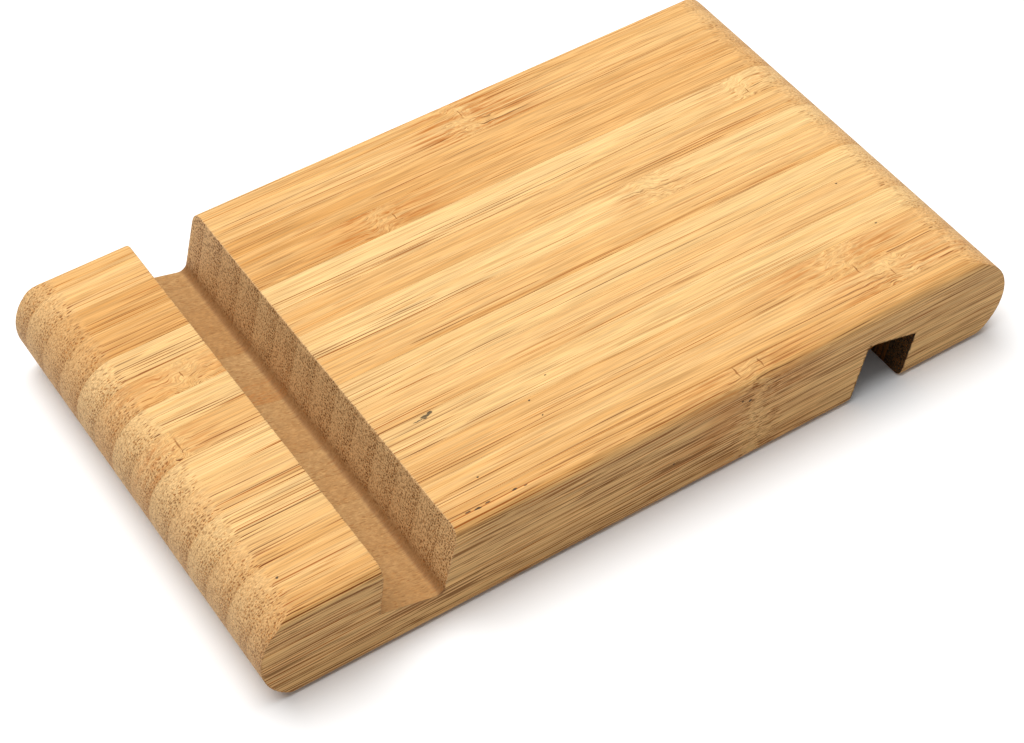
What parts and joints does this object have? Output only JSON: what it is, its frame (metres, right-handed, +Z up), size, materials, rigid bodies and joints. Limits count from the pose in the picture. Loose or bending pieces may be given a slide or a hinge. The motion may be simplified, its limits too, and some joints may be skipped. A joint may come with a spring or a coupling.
{
  "type": "phone stand",
  "caption": "Flat laminated bamboo block with a slanted slot across its top that holds a phone or tablet upright, a rounded lip in front and a second slanted slot underneath.",
  "frame": {"origin": "middle of the underside, on the surface that the stand lies on", "axes": "+Y along the strips, from the rounded lip in front to the far end; +X across the strips; +Z up"},
  "size_m": [0.08, 0.134, 0.017],
  "materials": {
    "bamboo_honey": "satin clear oil on edge-glued bamboo, honey tone",
    "bamboo_toasted": "satin clear oil on edge-glued bamboo, toasted tone",
    "bamboo_pale": "satin clear oil on edge-glued bamboo, pale tone"
  },
  "bodies": {
    "root": {"strip_01": "bamboo_honey", "strip_02": "bamboo_honey", "strip_03": "bamboo_toasted", "strip_04": "bamboo_toasted", "strip_05": "bamboo_pale", "strip_06": "bamboo_honey", "strip_07": "bamboo_pale", "strip_08": "bamboo_honey", "strip_09": "bamboo_pale", "strip_10": "bamboo_honey", "strip_11": "bamboo_pale", "strip_12": "bamboo_honey", "strip_13": "bamboo_honey", "strip_14": "bamboo_toasted"}
  },
  "joints": []
}
